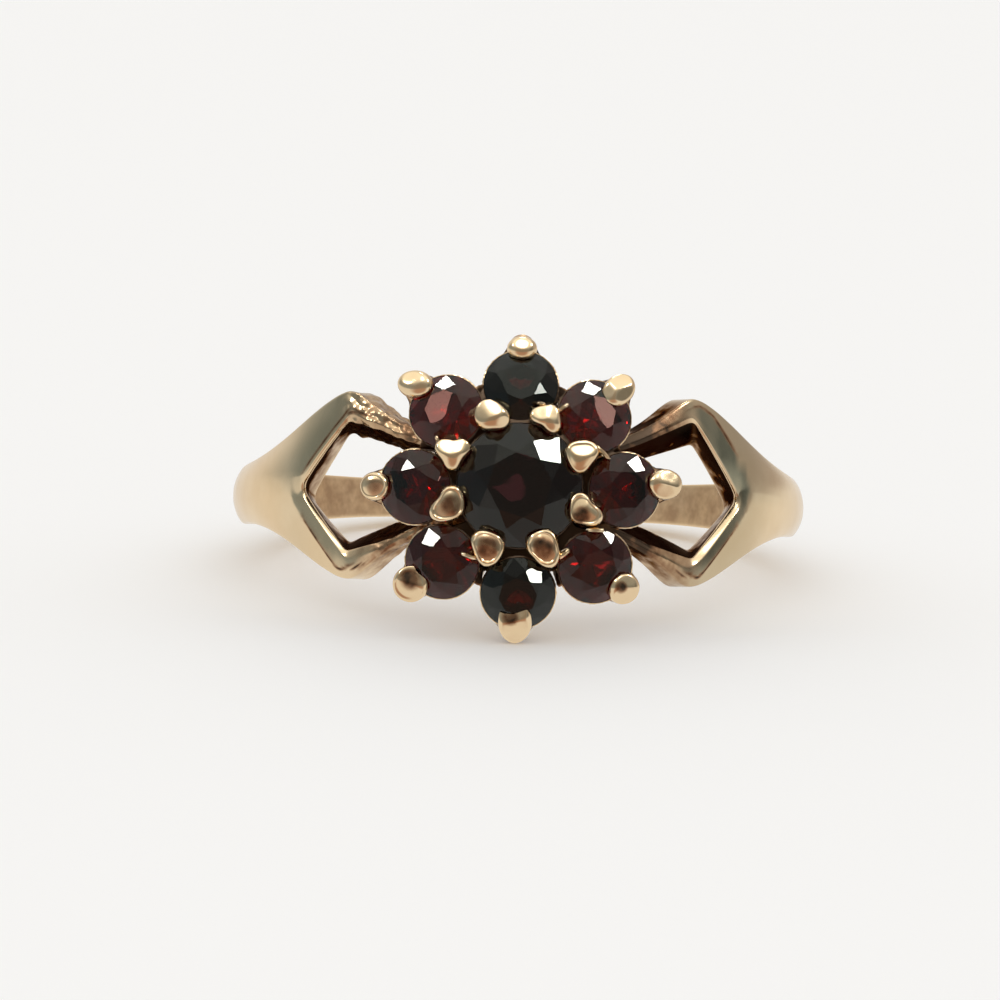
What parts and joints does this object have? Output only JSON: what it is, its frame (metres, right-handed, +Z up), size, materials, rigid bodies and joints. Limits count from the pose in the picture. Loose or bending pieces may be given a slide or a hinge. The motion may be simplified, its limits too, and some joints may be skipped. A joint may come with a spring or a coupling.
{
  "type": "gemstone ring",
  "caption": "Gold cluster ring with a flower of round dark red stones in claws, on a shank with forked, pierced shoulders.",
  "frame": {"origin": "middle of the ring's length and width, on the surface that it lies on", "axes": "+Z up from the surface, -Y the way the flower head looks, +X across the head, to the right seen from the front"},
  "size_m": [0.0202, 0.0214, 0.0101],
  "materials": {
    "gold": "worn polish, 9 carat yellow gold",
    "garnet": "polished facets"
  },
  "bodies": {
    "root": {"gold_mounting": "gold", "centre_stone": "garnet", "petal_stone_1": "garnet", "petal_stone_2": "garnet", "petal_stone_3": "garnet", "petal_stone_4": "garnet", "petal_stone_5": "garnet", "petal_stone_6": "garnet", "petal_stone_7": "garnet", "petal_stone_8": "garnet"}
  },
  "joints": []
}
